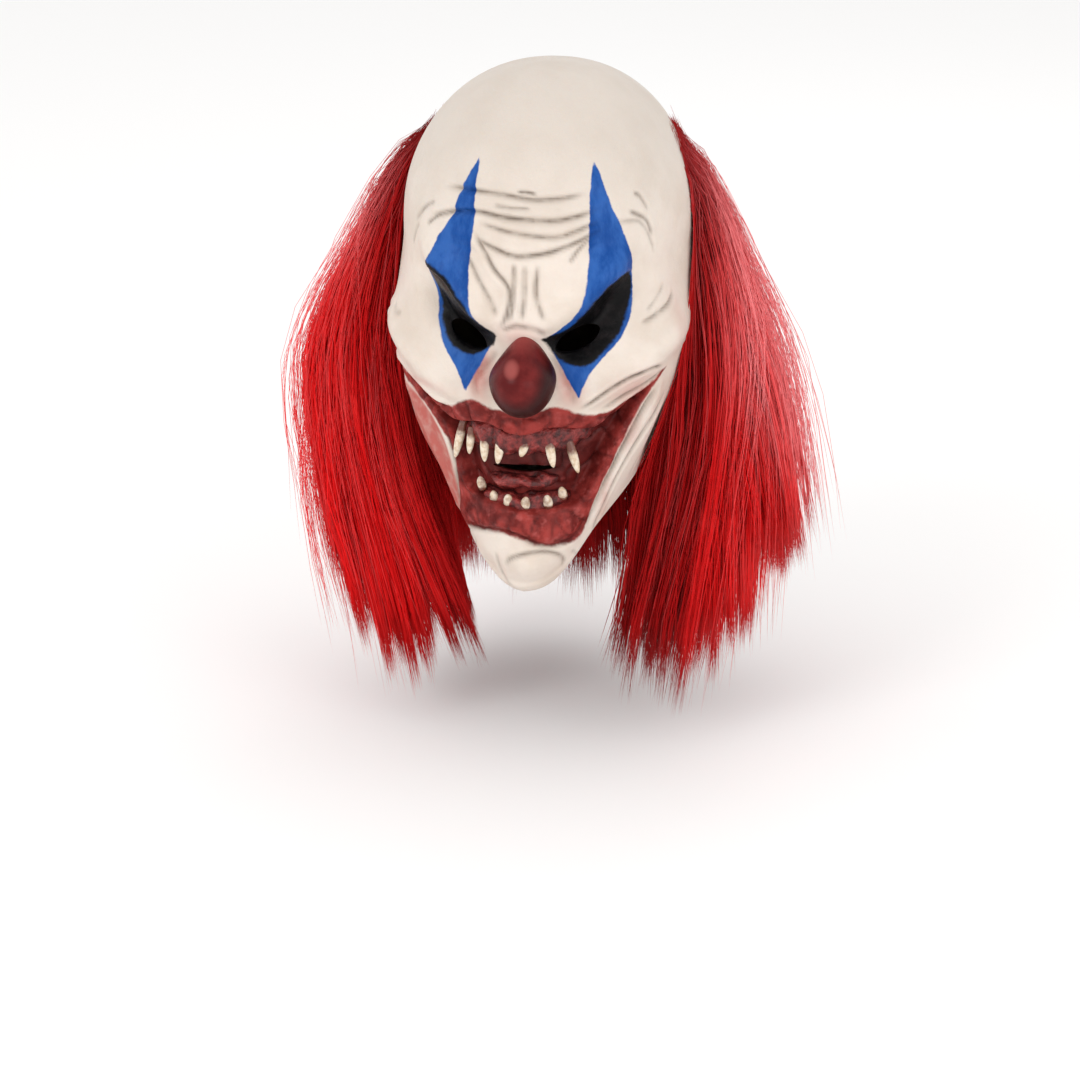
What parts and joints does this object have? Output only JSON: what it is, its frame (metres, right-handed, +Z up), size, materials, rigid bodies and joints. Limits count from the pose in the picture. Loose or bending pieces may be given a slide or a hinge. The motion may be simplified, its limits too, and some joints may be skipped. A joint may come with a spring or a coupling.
{
  "type": "latex clown mask with hair",
  "caption": "Full-head latex clown mask with bald crown, bulb nose, grinning mouth with crooked teeth and long side and back hair; pulled on over the head.",
  "frame": {"origin": "the inner surface of the crown, where the mask rests on the wearer's head", "axes": "+Z up, the face looks along -Y, +X is on the viewer's right"},
  "size_m": [0.2994, 0.2659, 0.3467],
  "materials": {
    "white_latex": "matte painted latex with brown wash in the creases",
    "nose_paint": "satin dark red paint on latex",
    "mouth_flesh": "satin red-brown paint on latex",
    "tooth_enamel": "satin ivory paint",
    "red_hair": "long shiny synthetic fibre"
  },
  "bodies": {
    "root": {"latex_skin": "white_latex", "nose": "nose_paint", "upper_gum": "mouth_flesh", "lower_gum": "mouth_flesh", "tongue": "mouth_flesh", "upper_tooth_1": "tooth_enamel", "upper_tooth_2": "tooth_enamel", "upper_tooth_3": "tooth_enamel", "upper_tooth_4": "tooth_enamel", "upper_tooth_5": "tooth_enamel", "upper_tooth_6": "tooth_enamel", "upper_tooth_7": "tooth_enamel", "lower_tooth_1": "tooth_enamel", "lower_tooth_2": "tooth_enamel", "lower_tooth_3": "tooth_enamel", "lower_tooth_4": "tooth_enamel", "lower_tooth_5": "tooth_enamel", "lower_tooth_6": "tooth_enamel", "hair_left": "red_hair", "hair_right": "red_hair", "hair_back": "red_hair"}
  },
  "joints": []
}
